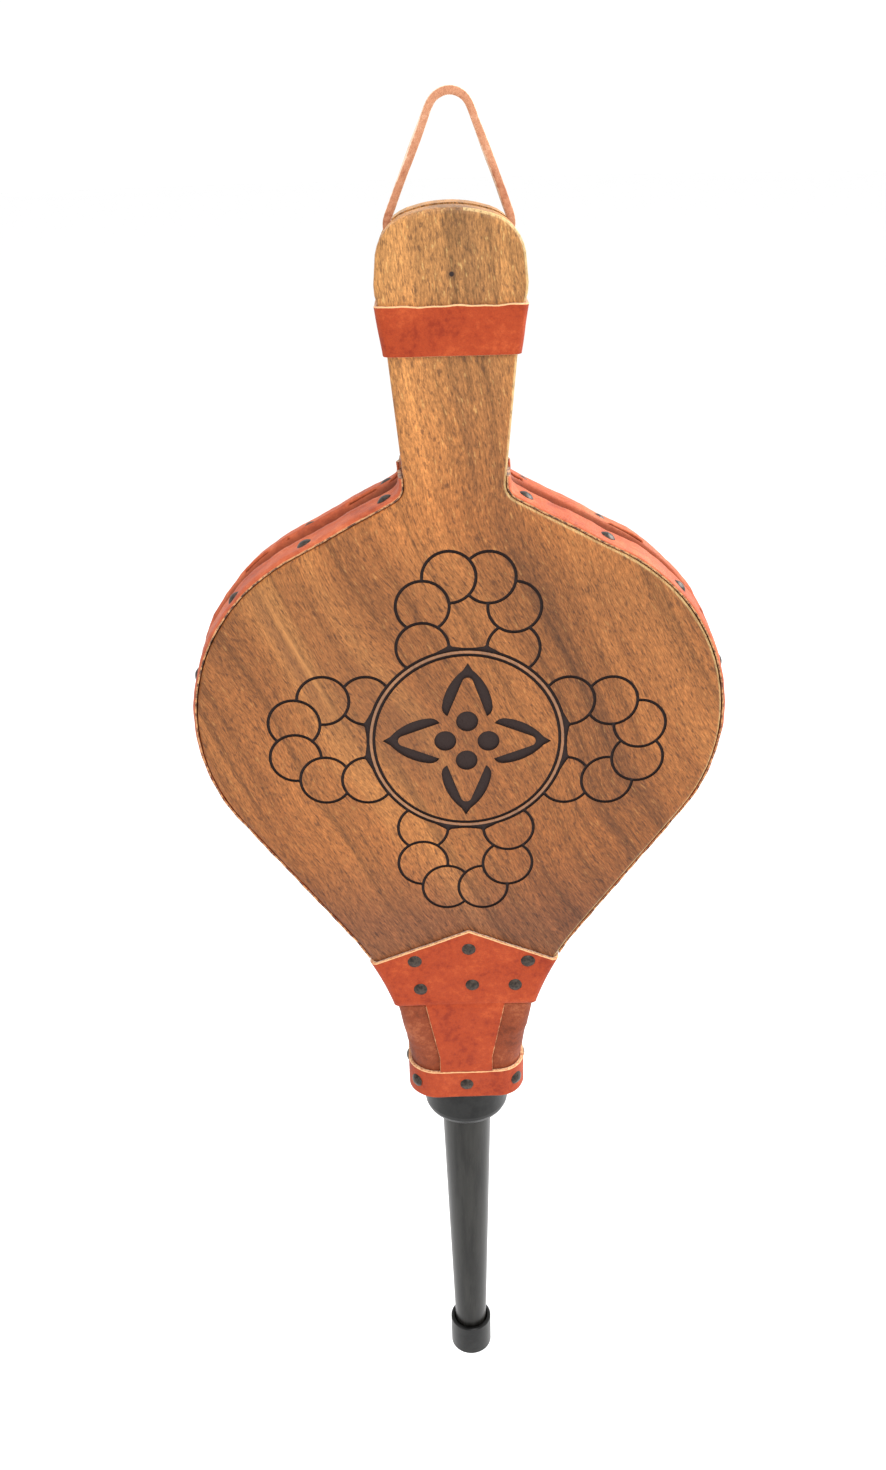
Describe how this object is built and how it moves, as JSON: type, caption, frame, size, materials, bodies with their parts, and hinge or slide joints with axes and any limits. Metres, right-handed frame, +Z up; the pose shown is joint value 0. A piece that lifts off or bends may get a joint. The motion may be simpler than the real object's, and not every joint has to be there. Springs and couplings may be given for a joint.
{
  "type": "hand bellows",
  "caption": "Hand bellows for a hearth: two pear-shaped wooden boards hinged at the nose, a leather gusset between them, an iron nozzle and a hanging thong.",
  "frame": {"origin": "inside top of the hanging thong, where it rests on a hook", "axes": "+Z up with the nozzle hanging straight down, -Y out of the carved front, +X to the right seen from the front"},
  "size_m": [0.187, 0.0412, 0.5335],
  "materials": {
    "walnut": "oiled",
    "gusset_leather": "satin",
    "hinge_leather": "satin",
    "wrap_leather": "matte",
    "valve_leather": "matte",
    "thong_leather": "matte",
    "black_iron": "satin black",
    "tube_iron": "satin dark grey",
    "tack_iron": "blued",
    "screw_brass": "plain"
  },
  "bodies": {
    "back_body": {"back_board": "walnut", "nose_block": "walnut", "block_screws": "screw_brass", "nose_wrap": "wrap_leather", "nose_band": "hinge_leather", "band_tacks": "tack_iron", "back_edge_tacks": "tack_iron", "gusset": "gusset_leather", "valve_batten": "valve_leather", "valve_tacks": "tack_iron", "nozzle_cup": "black_iron", "nozzle_tube": "tube_iron", "nozzle_ferrule": "black_iron", "hang_thong": "thong_leather", "thong_tacks": "tack_iron"},
    "front_body": {"front_board": "walnut", "front_edge_tacks": "tack_iron", "hinge_apron": "hinge_leather", "apron_tacks": "tack_iron"},
    "valve": {"valve_flap": "valve_leather"},
    "keeper": {"keeper_band": "hinge_leather"}
  },
  "joints": [
    {"name": "front_hinge", "type": "hinge", "parent": "back_body", "child": "front_body", "pos_m": [0, -0.018, -0.3199], "axis": [1, 0, 0], "range_deg": [0, 24], "deforming": ["gusset", "hinge_apron", "keeper_band"]},
    {"name": "valve_hinge", "type": "hinge", "parent": "back_body", "child": "valve", "pos_m": [0, 0.0039, -0.185], "axis": [-1, 0, 0], "range_deg": [0, 6]},
    {"name": "keeper_slide", "type": "slide", "parent": "back_body", "child": "keeper", "axis": [0, 0, 1], "range_m": [0, 0.05], "deforming": ["keeper_band"]}
  ]
}
